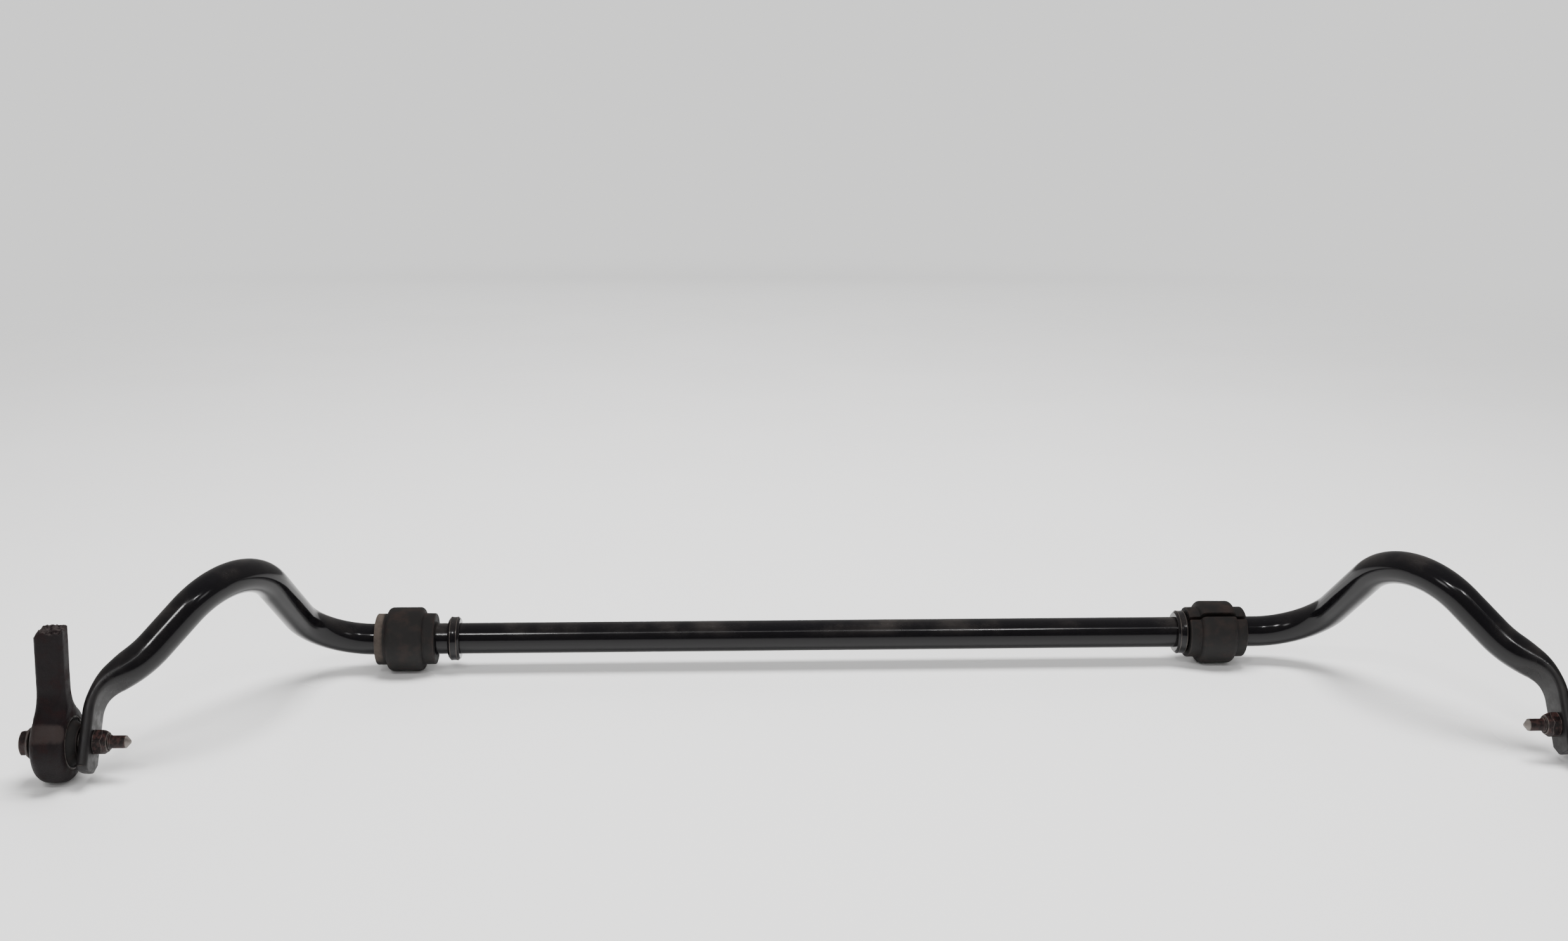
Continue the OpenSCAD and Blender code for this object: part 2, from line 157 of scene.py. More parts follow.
def makeBlackPaint():
    f = Finish("glossBlackPaint")
    s = blackPaint
    film = f.steps(f.grain(s["filmSize"], 5), 0.42, 0.75) * f.steps(f.upward(), 0.1, 0.95)
    specks = f.steps(f.grain(s["speckSize"], 2, 0.7), 0.66, 0.74)
    scuffs = f.steps(f.grain(s["scuffSize"], 6, 0.6, s["scuffLong"]), 0.64, 0.72)
    scuffs = scuffs * f.steps(f.grain(s["scuffPatch"]), 0.5, 0.62)
    worn = f.steps(f.around(f.mark("edge"), s["chipSize"], 0.5, 5), 0.62, 0.9)
    grime = f.mark("grime") * (0.45 + 0.55 * f.steps(f.grain(s["grimeSize"], 6, 0.6), 0.35, 0.6))
    dust = s["filmDust"] * film + s["speckDust"] * specks * film
    dust = dust + s["scuffDust"] * scuffs + s["grimeDust"] * grime
    colour = f.mix(worn * s["bareShown"], f.mix(dust, s["base"], s["dust"]), s["bare"])
    rough = s["rough"] + s["dusty"] * dust + s["chipped"] * worn + s["grimy"] * grime
    return f.surface(Base_Color=colour, Roughness=rough, IOR=s["gloss"], Metallic=worn * s["bareMetal"],
                     Normal=f.bump(f.grain(s["peel"], 2, 0.4), s["peelDepth"]))


rubber = {
    "base": (0.0085, 0.0078, 0.0076), "brown": (0.021, 0.0135, 0.0115), "dust": (0.07, 0.056, 0.047),
    "rough": 0.74, "dusty": 0.15, "polished": 0.12, "shine": 0.28, "stainSize": 11 * mm, "stainShown": 0.55,
    "rubbedSize": 3 * mm, "rubbedShown": 0.35, "dustSize": 5 * mm, "gritSize": 0.7 * mm,
    "poreSize": 1.9 * mm, "depth": 0.06 * mm}


def makeRubber():
    f = Finish("agedRubber")
    s = rubber
    stain = f.steps(f.grain(s["stainSize"], 5), 0.45, 0.72)
    grit = f.grain(s["gritSize"], 3, 0.65)
    dusty = f.steps(f.around(f.mark("dust"), s["dustSize"], 0.45, 6) + 0.3 * (grit - 0.5), 0.28, 0.92)
    rubbedAndHighlight = f.steps(f.around(f.mark("edge"), s["rubbedSize"], 0.6), 0.5, 1.0)
    dark = f.mix(stain * s["stainShown"] + rubbedAndHighlight * s["rubbedShown"], s["base"], s["brown"])
    pores = f.steps(f.cells(s["poreSize"]), 0.08, 0.2)
    return f.surface(Base_Color=f.mix(dusty, dark, s["dust"]),
                     Roughness=s["rough"] + s["dusty"] * dusty - s["polished"] * rubbedAndHighlight,
                     Specular_IOR_Level=s["shine"], Normal=f.bump(grit * 0.5 + pores * 0.3, s["depth"]))


forging = {
    "base": (0.0046, 0.0026, 0.0032), "rust": (0.02, 0.0068, 0.0064), "pale": (0.048, 0.036, 0.033),
    "torn": (0.034, 0.028, 0.027), "rough": 0.55, "shine": 0.19, "rusty": 0.22, "broken": 0.2,
    "polished": 0.1, "wornMetal": 0.4, "wornShown": 0.55, "highlightShown": 0.4, "patchSize": 14 * mm,
    "patchShown": 0.35, "fleckSize": 1.1 * mm, "fleckShown": 0.45, "wornSize": 2.2 * mm, "highlightSize": 4 * mm,
    "scaleSize": 1.6 * mm, "fineSize": 0.45 * mm, "fracture": 2.4 * mm, "fractureFine": 0.9 * mm,
    "depth": 0.16 * mm}


def makeForging():
    f = Finish("forgedLink")
    s = forging
    patches = f.steps(f.grain(s["patchSize"], 6, 0.6), 0.46, 0.72)
    scale = f.grain(s["scaleSize"], 5, 0.62)
    fine = f.grain(s["fineSize"], 3, 0.6)
    torn = f.mark("torn")
    worn = f.steps(f.around(f.mark("edge"), s["wornSize"], 0.7, 5), 0.55, 1.0)
    # Painted highlight: a paler patch on the front and top of the eye, where light falls on it
    rubbedAndHighlight = f.steps(f.around(f.mark("paintedEyeHighlight"), s["highlightSize"], 0.5, 5), 0.35, 0.9)
    flecks = f.steps(f.grain(s["fleckSize"], 4, 0.7), 0.5, 0.66)
    skin = f.mix(patches * s["patchShown"] + patches * flecks * s["fleckShown"], s["base"], s["rust"])
    # Worn edges turn pale, and so does the painted highlight on the eye
    skin = f.mix(worn * s["wornShown"] + rubbedAndHighlight * s["highlightShown"], skin, s["pale"])
    broken = f.mix(f.steps(f.grain(s["fracture"], 6), 0.4, 0.65), s["torn"], s["base"])
    height = scale * 1.1 + fine * 0.5 - flecks * 0.3 + torn * f.grain(s["fractureFine"], 5, 0.7) * 2.5
    rough = s["rough"] + s["rusty"] * patches + s["broken"] * torn - s["polished"] * worn
    return f.surface(Base_Color=f.mix(torn, skin, broken), Roughness=rough, Metallic=worn * s["wornMetal"],
                     Specular_IOR_Level=s["shine"], Normal=f.bump(height, s["depth"]))


fastener = {
    "base": (0.0085, 0.0056, 0.0056), "rust": (0.026, 0.0102, 0.0085), "bright": (0.2, 0.18, 0.165),
    "rough": 0.55, "rusty": 0.25, "polished": 0.15, "metal": 0.55, "shinyMetal": 0.3, "wornShown": 0.3,
    "spotSize": 3.2 * mm, "wornSize": 1.8 * mm, "pitSize": 0.6 * mm, "depth": 0.07 * mm}


def makeFastener(name, rusty, brightTip):
    f = Finish(name)
    s = fastener
    spots = f.steps(f.grain(s["spotSize"], 6, 0.62), 0.5 - 0.12 * rusty, 0.68)
    pits = f.grain(s["pitSize"], 4, 0.65)
    worn = f.steps(f.around(f.mark("edge"), s["wornSize"], 0.6, 5), 0.5, 0.95)
    shiny = worn * s["wornShown"] + f.mark("tip") * brightTip
    colour = f.mix(shiny, f.mix(spots, s["base"], s["rust"]), s["bright"])
    return f.surface(Base_Color=colour, Roughness=s["rough"] + s["rusty"] * spots - s["polished"] * shiny,
                     Metallic=s["metal"] * (1 - spots) + s["shinyMetal"] * shiny,
                     Normal=f.bump(pits + spots * 0.6, s["depth"]))


zincSteel = {
    "base": (0.075, 0.068, 0.063), "stain": (0.02, 0.013, 0.011), "rough": 0.45, "stainRough": 0.3,
    "metal": 0.85, "stainDull": 0.5, "stainSize": 4 * mm, "turnedSize": 0.5 * mm, "turnedFlat": (4, 1, 1),
    "depth": 0.03 * mm}


def makeZincSteel():
    f = Finish("dullZincSteel")
    s = zincSteel
    stain = f.steps(f.grain(s["stainSize"], 6, 0.6), 0.42, 0.66)
    turned = f.grain(s["turnedSize"], 3, 0.5, s["turnedFlat"])
    return f.surface(Base_Color=f.mix(stain, s["base"], s["stain"]),
                     Roughness=s["rough"] + s["stainRough"] * stain,
                     Metallic=s["metal"] - s["stainDull"] * stain,
                     Normal=f.bump(turned + stain * 0.4, s["depth"]))


def meshObject(name, points, faces):
    mesh = bpy.data.meshes.new(name)
    mesh.from_pydata([tuple(p) for p in points], [], faces)
    mesh.validate()
    made = bpy.data.objects.new(name, mesh)
    bpy.context.scene.collection.objects.link(made)
    outward(made)
    return made


def outward(piece):
    mesh = bmesh.new()
    mesh.from_mesh(piece.data)
    bmesh.ops.remove_doubles(mesh, verts=mesh.verts, dist=1e-7)
    bmesh.ops.recalc_face_normals(mesh, faces=mesh.faces)
    mesh.to_mesh(piece.data)
    mesh.free()


def gridFaces(rows, count, looped):
    last = rows if looped else rows - 1
    return [(j * count + i, j * count + (i + 1) % count,
             (j + 1) % rows * count + (i + 1) % count, (j + 1) % rows * count + i)
            for j in range(last) for i in range(count)]


def tube(name, rows, looped=False):
    # Closed skin over rows of points, its two ends filled or, when looped, joined to each other
    count = len(rows[0])
    faces = gridFaces(len(rows), count, looped)
    if not looped:
        faces += [tuple(range(count)), tuple((len(rows) - 1) * count + i for i in range(count))]
    return meshObject(name, [p for row in rows for p in row], faces)


def applied(piece):
    # The piece's modifiers become its mesh
    bpy.context.view_layer.update()
    solved = piece.evaluated_get(bpy.context.evaluated_depsgraph_get())
    mesh = bpy.data.meshes.new_from_object(solved)
    piece.modifiers.clear()
    piece.data = mesh
    return piece


def cut(piece, tool):
    change = piece.modifiers.new("cut", "BOOLEAN")
    change.object = tool
    change.solver = "EXACT"
    applied(piece)
    bpy.data.objects.remove(tool)
    return piece


def shade(piece, sharpest):
    # Smooth all over, apart from edges sharper than the angle
    mesh = bmesh.new()
    mesh.from_mesh(piece.data)
    for face in mesh.faces:
        face.smooth = True
    for edge in mesh.edges:
        edge.smooth = len(edge.link_faces) < 2 or edge.calc_face_angle(0) < math.radians(sharpest)
    mesh.to_mesh(piece.data)
    mesh.free()
    return piece


def setMark(piece, name, values):
    attribute = piece.data.attributes.get(name) or piece.data.attributes.new(name, "FLOAT", "POINT")
    attribute.data.foreach_set("value", np.asarray(values, np.float32))


edgeBend = {"least": 110, "most": 420}


def markEdges(piece):
    # How sharply each point's surface turns outwards (1/m), from flat or hollow to a worn edge
    s = edgeBend
    mesh = piece.data
    count = len(mesh.vertices)
    points = np.empty(count * 3)
    normals = np.empty(count * 3)
    mesh.vertices.foreach_get("co", points)
    mesh.vertices.foreach_get("normal", normals)
    points = points.reshape(-1, 3)
    normals = normals.reshape(-1, 3)
    ends = np.empty(len(mesh.edges) * 2, np.int64)
    mesh.edges.foreach_get("vertices", ends)
    a, b = ends.reshape(-1, 2).T
    total = np.zeros(count)
    share = np.zeros(count)
    for here, there in ((a, b), (b, a)):
        step = points[there] - points[here]
        length = np.maximum((step ** 2).sum(1), 1e-9)
        np.add.at(total, here, -2 * (step * normals[here]).sum(1) / length)
        np.add.at(share, here, 1)
    bend = total / np.maximum(share, 1)
    setMark(piece, "edge", np.clip((bend - s["least"]) / (s["most"] - s["least"]), 0, 1))


def finishPiece(piece, material, node, body, sharpest):
    piece.data.materials.clear()
    piece.data.materials.append(material)
    shade(piece, sharpest)
    markEdges(piece)
    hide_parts(node)
    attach(piece, body)
    return piece


def around(radius, turn):
    # Point across the bar's axis, turned from straight up towards the front
    return (-radius * math.sin(turn), radius * math.cos(turn))


def revolved(name, profile, centre, count=96):
    # Closed ring of a profile of (along X, radius) points, about a line through centre
    rows = []
    for i in range(count):
        row = [(x, *around(r, 2 * math.pi * i / count)) for x, r in profile]
        rows.append([(centre.x + x, centre.y + y, centre.z + z) for x, y, z in row])
    return tube(name, rows, True)


def arc(cx, cy, radius, start, end, count):
    turns = [math.radians(start + (end - start) * k / count) for k in range(count + 1)]
    return [(cx + radius * math.cos(turn), cy + radius * math.sin(turn)) for turn in turns]


def smoothstep(value):
    t = min(1.0, max(0.0, value))
    return t * t * (3 - 2 * t)


def mixed(a, b, t):
    return a + (b - a) * t


def nodeCentre(node):
    low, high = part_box(node)
    return (low + high) / 2


viewpoint = {"place": (-0.112, -1.4341, 0.5132), "yaw": 3.06, "pitch": 14.006, "roll": 0.519, "lens": 38.2}


def makeCamera():
    yaw, pitch, roll = (math.radians(viewpoint[k]) for k in ("yaw", "pitch", "roll"))
    ahead = Vector((math.sin(yaw) * math.cos(pitch), math.cos(yaw) * math.cos(pitch), -math.sin(pitch)))
    right = Vector((math.cos(yaw), -math.sin(yaw), 0))
    up = right.cross(ahead)
    across = right * math.cos(roll) + up * math.sin(roll)
    above = up * math.cos(roll) - right * math.sin(roll)
    data = bpy.data.cameras.new("camera")
    data.lens = viewpoint["lens"]
    data.clip_start = 0.01
    made = bpy.data.objects.new("camera", data)
    turned = Matrix((across, above, -ahead)).transposed().to_4x4()
    made.matrix_world = Matrix.Translation(viewpoint["place"]) @ turned
    bpy.context.scene.collection.objects.link(made)
    bpy.context.scene.camera = made


floorLook = {"radius": 3.4, "solid": 1.1, "fadedAt": 0.97, "around": 96, "colour": (0.91, 0.905, 0.9),
             "rough": 0.28, "uneven": 0.12, "cloud": 0.25, "shine": 0.35}


def makeFloor():
    s = floorLook
    turns = [2 * math.pi * i / s["around"] for i in range(s["around"])]
    rim = [(s["radius"] * math.cos(turn), s["radius"] * math.sin(turn), cadBox[0][2]) for turn in turns]
    made = meshObject("floor", rim, [tuple(range(s["around"]))])
    f = Finish("paleFloor")
    fromMiddle = f.node("VectorMath", {"operation": "LENGTH"}, {0: f.place()}, 1)
    cloudy = f.grain(s["cloud"], 3)
    f.surface(Base_Color=s["colour"], Roughness=s["rough"] + s["uneven"] * (cloudy - 0.5),
              Specular_IOR_Level=s["shine"],
              Alpha=1 - f.steps(fromMiddle, s["solid"], s["radius"] * s["fadedAt"]))
    made.data.materials.append(f.material)


lamps = {
    "overhead": {"place": (0.1, 0.3, 2.4), "aim": (0, -0.1, 0), "size": (1.8, 1.0), "power": 128,
                 "shines": False},
    "windowStrip": {"place": (0.05, -2.2, 2.75), "aim": (0, 0, 0), "size": (2.8, 0.12), "power": 8},
    "windowLeft": {"place": (-0.82, -2.15, 2.6), "aim": (0, 0, 0), "size": (0.45, 0.15), "power": 21},
    "windowRight": {"place": (0.78, -2.15, 2.6), "aim": (0, 0, 0), "size": (0.26, 0.15), "power": 9},
    "leftPanel": {"place": (-2.1, -2.2, 2.0), "aim": (-0.5, 0, 0), "size": (0.8, 0.6), "power": 9},
    "rightPanel": {"place": (2.3, -2.2, 2.0), "aim": (0.5, 0, 0), "size": (0.8, 0.6), "power": 5},
    "frontFill": {"place": (0.2, -3.2, 1.6), "aim": (0, 0, 0), "size": (2.5, 1.5), "power": 38,
                  "shines": False},
    "wallBounce": {"place": (0, 2.4, 0.9), "aim": (0, 0, 0), "size": (4.5, 1.6), "power": 45,
                   "shines": False},
}
surround = {"seen": (1.15, 1.15, 1.14), "tint": (1, 0.99, 0.97), "front": 0.06, "back": 0.36,
            "fade": (-0.7, 0.8)}


def makeLamps():
    for name, s in lamps.items():
        data = bpy.data.lights.new(name, "AREA")
        data.shape = "RECTANGLE"
        data.size, data.size_y = s["size"]
        data.energy = s["power"]
        made = bpy.data.objects.new(name, data)
        made.visible_glossy = s.get("shines", True)
        made.location = s["place"]
        made.rotation_euler = (Vector(s["aim"]) - Vector(s["place"])).to_track_quat("-Z", "Y").to_euler()
        bpy.context.scene.collection.objects.link(made)


def makeSurround():
    # Soft light all round, stronger from behind, and a plain pale tone where the camera sees it
    world = bpy.data.worlds.new("studio")
    bpy.context.scene.world = world
    world.use_nodes = True
    tree = world.node_tree
    new, link = tree.nodes.new, tree.links.new
    lit = tree.nodes["Background"]
    seen = new("ShaderNodeBackground")
    seen.inputs["Color"].default_value = (*surround["seen"], 1)
    split = new("ShaderNodeSeparateXYZ")
    link(new("ShaderNodeTexCoord").outputs["Generated"], split.inputs[0])
    fade = new("ShaderNodeMapRange")
    fade.inputs["From Min"].default_value = surround["fade"][0]
    fade.inputs["From Max"].default_value = surround["fade"][1]
    fade.inputs["To Min"].default_value = surround["front"]
    fade.inputs["To Max"].default_value = surround["back"]
    link(split.outputs[1], fade.inputs["Value"])
    link(fade.outputs[0], lit.inputs["Strength"])
    lit.inputs["Color"].default_value = (*surround["tint"], 1)
    path = new("ShaderNodeLightPath")
    both = new("ShaderNodeMixShader")
    link(path.outputs["Is Camera Ray"], both.inputs[0])
    link(lit.outputs[0], both.inputs[1])
    link(seen.outputs[0], both.inputs[2])
    link(both.outputs[0], tree.nodes["World Output"].inputs["Surface"])


makeCamera()
makeFloor()
makeLamps()
makeSurround()
print("camera, floor and light")


bar = {
    "radius": 14 * mm, "skin": 0.05 * mm, "straight": 401 * mm, "straightRows": 24,
    "bendRadius": (60 * mm, 67 * mm, 90 * mm, 40 * mm), "bendStep": 2.5, "rowGap": 4 * mm, "padGap": 1 * mm,
    "hump": (480 * mm, -126 * mm, 122.8 * mm), "shin": (543 * mm, -183 * mm, 54 * mm),
    "heel": (575 * mm, -209 * mm, 33.5 * mm), "padThick": 8.5 * mm, "padWide": 29 * mm, "padEnd": 23 * mm,
    "cutFront": 3 * mm, "cutBack": 7 * mm, "flatBy": 0.8, "tuck": 0.35 * mm, "around": 72,
    "holeRadius": 6.5 * mm, "holeHalf": 40 * mm, "holeAround": 48, "grimeFrom": 32 * mm,
    "grimeFade": 40 * mm}


def bendStations(before, corner, after, radius):
    # Points and directions round one bend of the route
    into = (corner - before).normalized()
    outOf = (after - corner).normalized()
    turn = into.angle(outOf)
    inward = (outOf - into * into.dot(outOf)).normalized()
    start = corner - into * radius * math.tan(turn / 2)
    centre = start + inward * radius
    count = max(2, math.ceil(math.degrees(turn) / bar["bendStep"]))
    turns = [turn * k / count for k in range(count + 1)]
    return [(centre + radius * (into * math.sin(a) - inward * math.cos(a)),
             into * math.cos(a) + inward * math.sin(a)) for a in turns]


def armRoute():
    # Places and directions along the bar from its middle to the end of the right paddle, the right
    # arm's bends, the paddle's end, and the way across the straight that suits the first bend
    hump, shin, heel = (Vector(bar[k]) for k in ("hump", "shin", "heel"))
    eye = nodeCentre("inner_sleeve_right")
    eye.x = heel.x
    root = Vector((bar["straight"] + bar["bendRadius"][0], 0, 0))
    for _ in range(12):
        # The first corner shifts until its bend starts where the straight ends
        angle = Vector((1, 0, 0)).angle(hump - root)
        root.x = bar["straight"] + bar["bendRadius"][0] * math.tan(angle / 2)
    route = [Vector((0, 0, 0)), root, hump, shin, heel, eye]
    bends = [bendStations(*route[i - 1:i + 2], bar["bendRadius"][i - 1]) for i in range(1, 5)]
    along = np.linspace(0, bar["straight"], bar["straightRows"])[:-1]
    stations = [(Vector((x, 0, 0)), Vector((1, 0, 0))) for x in along]
    for i, bend in enumerate(bends):
        start, end = stations[-1][0], bend[0][0]
        gaps = max(1, int((end - start).length / bar["rowGap"]))
        if i:
            stations += [(start.lerp(end, k / gaps), bend[0][1]) for k in range(1, gaps)]
        stations += bend
    start, ahead = stations[-1]
    finish = eye + ahead * bar["padEnd"]
    length = (finish - start).length
    steps = np.arange(bar["padGap"], length, bar["padGap"])
    stations += [(start.lerp(finish, step / length), ahead) for step in steps]
    stations.append((finish, ahead))
    return stations, bends, finish, -bendInward(route)


def bendInward(route):
    # The way the route's first corner turns
    into = (route[1] - route[0]).normalized()
    outOf = (route[2] - route[1]).normalized()
    return (outOf - into * into.dot(outOf)).normalized()


def barRows():
    # The right half's cross-sections, from the round bar to the flat paddle
    stations, bends, finish, outside = armRoute()
    flatStart = bends[2][-1][0]
    flatLength = (bends[3][-1][0] - flatStart).length * bar["flatBy"]
    slack = 1e-6
    full = bar["radius"] - bar["skin"]
    rows = []
    for place, ahead in stations:
        across = Vector((1, 0, 0)) - ahead * ahead.x
        across = outside if across.length < 0.01 else across.normalized()
        wide = ahead.cross(across)
        past = place.x > flatStart.x - slack and place.y < flatStart.y + slack
        flat = smoothstep((place - flatStart).length / flatLength) if past else 0
        thick = mixed(full, bar["padThick"] / 2, flat)
        half = mixed(full, bar["padWide"] / 2, flat)
        toEnd = (finish - place).length if past else 1
        front = half - max(0, bar["cutFront"] - toEnd)
        back = half - max(0, bar["cutBack"] - toEnd)
        tuck = bar["tuck"] if place is finish else 0
        rows.append(barSection(place, across, wide, thick - tuck, front - tuck, back - tuck))
    return rows


def barSection(place, across, wide, thick, front, back):
    # A round of the thickness, pulled out flat to its front and back reach
    row = []
    for i in range(bar["around"]):
        turn = 2 * math.pi * (i + 0.5) / bar["around"]
        reach = front if math.sin(turn) > 0 else back
        side = thick * math.sin(turn) + (reach - thick) * math.copysign(1, math.sin(turn))
        row.append(place + across * thick * math.cos(turn) + wide * side)
    return row


def makeBar(paint):
    s = bar
    right = barRows()
    left = [[Vector((-p.x, p.y, p.z)) for p in row] for row in right[:0:-1]]
    piece = tube("swayBar", left + right)
    for side in sides:
        eye = nodeCentre("inner_sleeve_" + side)
        rim = [around(s["holeRadius"], 2 * math.pi * i / s["holeAround"]) for i in range(s["holeAround"])]
        cut(piece, tube("hole", [[(eye.x + x, eye.y + y, eye.z + z) for y, z in rim]
                                 for x in (-s["holeHalf"], s["holeHalf"])]))
    finishPiece(piece, paint, "bar", "bar", 40)
    eye = nodeCentre("inner_sleeve_right")
    grime = []
    for v in piece.data.vertices:
        fromBolt = math.hypot(abs(v.co.x) - s["heel"][0], v.co.y - eye.y, v.co.z - eye.z)
        grime.append(1 - smoothstep((fromBolt - s["grimeFrom"]) / s["grimeFade"]))
    setMark(piece, "grime", grime)


ring = {"rim": 0.5 * mm, "chamfer": 2 * mm, "waist": 0.35 * mm, "grip": 0.02 * mm}


def makeStopRing(side, paint):
    node = "stop_ring_" + side
    low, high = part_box(node)
    centre = nodeCentre(node)
    half, outer = (high.x - low.x) / 2, (high.z - low.z) / 2
    inner = bar["radius"] - ring["grip"]
    c, r = ring["chamfer"], ring["rim"]
    profile = [(-half, inner)]
    profile += arc(-half + r, outer - c - r * 0.4, r, 180, 135, 3)
    profile += arc(-half + c + r * 0.4, outer - r, r, 135, 90, 3)
    profile += [(-half * 0.3, outer - ring["waist"] * 0.6), (0, outer - ring["waist"]),
                (half * 0.3, outer - ring["waist"] * 0.6)]
    profile += arc(half - c - r * 0.4, outer - r, r, 90, 45, 3)
    profile += arc(half - r, outer - c - r * 0.4, r, 45, 0, 3)
    profile += [(half, inner)]
    finishPiece(revolved("stopRing_" + side, profile, centre), paint, node, "bar", 50)


bush = {
    "bore": 14.05 * mm, "boreRim": 0.5 * mm, "shoulder": 23 * mm, "band": 28.5 * mm, "bandHalf": 16.25 * mm,
    "bandRim": 4.5 * mm, "foot": 1.2 * mm, "chamfer": 1.2 * mm, "slitOuter": 4.5 * mm, "slitBore": 1.6 * mm,
    "slitRim": 0.45 * mm, "slit": {"left": 215, "right": 37}, "around": 132, "sag": 0.16 * mm,
    "sagAcross": 60, "sagAround": 2.2}


def bushProfile(half):
    # From the bore's end out over shoulder and band, down the other side and back through the bore
    s = bush
    chamfer, foot, rim = s["chamfer"], s["foot"], s["bandRim"]
    shoulderEnds = (half - chamfer - 2 * mm, s["bandHalf"] + foot)
    side = [(half, s["bore"] + s["boreRim"]), (half, s["shoulder"] - chamfer - 0.6 * mm)]
    side += arc(half - chamfer, s["shoulder"] - chamfer, chamfer, 0, 90, 4)
    side += [(x, s["shoulder"]) for x in np.linspace(*shoulderEnds, 4)]
    side += arc(s["bandHalf"] + foot, s["shoulder"] + foot, foot, 270, 180, 4)[1:]
    side += arc(s["bandHalf"] - rim, s["band"] - rim, rim, 0, 90, 7)
    side += [(x, s["band"]) for x in np.linspace(s["bandHalf"] - rim - 3 * mm, 1 * mm, 3)]
    bore = [(x, s["bore"]) for x in np.linspace(-half + s["boreRim"], half - s["boreRim"], 9)]
    return side + [(-x, r) for x, r in side[::-1]] + bore


def bushRow(profile, side, centre, step):
    # The profile at one step round from slit face to slit face, a little uneven outside the bore
    s = bush
    slit = math.radians(s["slit"][side])
    ease = min(step, s["around"] - step) / 2.0
    row = []
    for x, r in profile:
        gap = mixed(s["slitBore"], s["slitOuter"], (r - s["bore"]) / (s["band"] - s["bore"])) / 2
        start = math.asin(gap / r)
        turn = slit + start + (2 * math.pi - 2 * start) * step / s["around"]
        radius = r
        if r > s["bore"] + 1 * mm:
            wave = noise.noise(Vector((x * s["sagAcross"] + 7 * sides[side],
                                       math.cos(turn) * s["sagAround"], math.sin(turn) * s["sagAround"])))
            rounding = s["slitRim"] * (1 - min(1, ease)) ** 2
            radius = r - rounding + min(0, s["sag"] * (wave - 0.5))
        y, z = around(radius, turn)
        row.append((centre.x + x, y, z))
    return row


bushPaleShoulder = {
    "left": {"from": 17.5 * mm, "fade": 2.5 * mm, "most": 0.7, "low": -24 * mm, "lowFade": 14 * mm,
             "back": 5 * mm, "backFade": 5 * mm, "backLess": 0.5},
    "right": {"from": 14 * mm, "fade": 4 * mm, "most": 0.12}}


def paleShoulderTone(place, centre, side):
    # A paler brown tone on the outboard shoulder, on the left bush less towards the bottom and the back
    s = bushPaleShoulder[side]
    out = abs(place.x) - abs(centre.x)
    dust = smoothstep((out - s["from"]) / s["fade"]) * s["most"]
    if side == "left":
        behind = smoothstep((place.y - s["back"]) / s["backFade"])
        dust *= smoothstep((place.z - s["low"]) / s["lowFade"]) * (1 - s["backLess"] * behind)
    return dust


def makeBush(side, material):
    node = "frame_bush_" + side
    centre = nodeCentre(node)
    low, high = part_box(node)
    profile = bushProfile((high.x - low.x) / 2)
    rows = [bushRow(profile, side, centre, step) for step in range(bush["around"] + 1)]
    piece = tube("frameBush_" + side, rows)
    finishPiece(piece, material, node, node, 50)
    # The paler brown shoulder tone is carried in the rubber's dust mark
    setMark(piece, "dust", [paleShoulderTone(v.co, centre, side) for v in piece.data.vertices])


link = {
    "eyeRadius": 30 * mm, "eyeThick": 25 * mm, "rim": 8 * mm, "boreRadius": 20.5 * mm, "mouth": 3 * mm,
    "mouthIn": 0.6 * mm, "axis": 0.02 * mm, "thick": 21.5 * mm, "shankDeep": 16.5 * mm,
    "shankEdge": 3.5 * mm, "neck": 28 * mm, "neckRows": 12, "rowsInEye": 4, "lean": 2.5,
    "height": 93 * mm, "spare": 2 * mm, "voxel": 0.75 * mm, "smooth": 5, "dents": 0.25 * mm,
    "dentsPerMetre": 90, "seed": {"left": 3.7, "right": 11.2}}


def leanAt(height, side):
    # How far the shank has leant towards the bar's middle at a height
    return -side * height * math.tan(math.radians(link["lean"]))


def blockSection(thick, deep, radius, place, lean):
    x, y = thick / 2 - radius, deep / 2 - radius
    points = [q for cx, cy, a in ((x, y, 0), (-x, y, 90), (-x, -y, 180), (x, -y, 270))
              for q in arc(cx, cy, radius, a, a + 90, 6)]
    return [place + Vector((qx + lean, qy, 0)) for qx, qy in points]


def shankRows(eye, side):
    # From inside the eye up through the neck, where the sides hollow in, to above the break
    s = link
    reach = s["eyeRadius"] + s["neck"]
    top = math.sqrt(reach ** 2 - (s["shankDeep"] / 2 + s["neck"]) ** 2)
    foot = top * s["eyeRadius"] / reach
    rows = []
    for k in range(-s["rowsInEye"], s["neckRows"] + 1):
        t = k / s["neckRows"]
        inside = min(0, t)
        z = mixed(foot, top, t)
        hollow = s["neck"] - math.sqrt(max(0, s["neck"] ** 2 - (top - max(z, foot)) ** 2))
        deep = s["shankDeep"] + 2 * hollow + inside * 12 * mm
        thick = mixed(s["eyeThick"] - 1 * mm, s["thick"], smoothstep(t)) + inside * 6 * mm
        radius = mixed(s["rim"], s["shankEdge"], smoothstep(t))
        lean = leanAt(max(0, z - foot), side)
        rows.append(blockSection(thick, deep, radius, eye + Vector((0, 0, z)), lean))
    z = s["height"] + s["spare"]
    end = eye + Vector((0, 0, z))
    rows.append(blockSection(s["thick"], s["shankDeep"], s["shankEdge"], end, leanAt(z - foot, side)))
    return rows


tear = {
    "grain": 300, "grainHigh": 1.1 * mm, "ridge": (170, 190), "ridgeHigh": 2.4 * mm, "corner": 4.2 * mm,
    "cornerAt": 8 * mm, "cornerFade": 1.2 * mm, "front": 1.6 * mm, "frontAt": 6 * mm, "frontFade": 1 * mm,
    "frontFrom": -4 * mm, "frontEase": 3 * mm, "below": 1.2 * mm, "highest": 1.1 * mm, "slope": 0.05,
    "edge": 0.5 * mm, "leanFrom": 25 * mm}


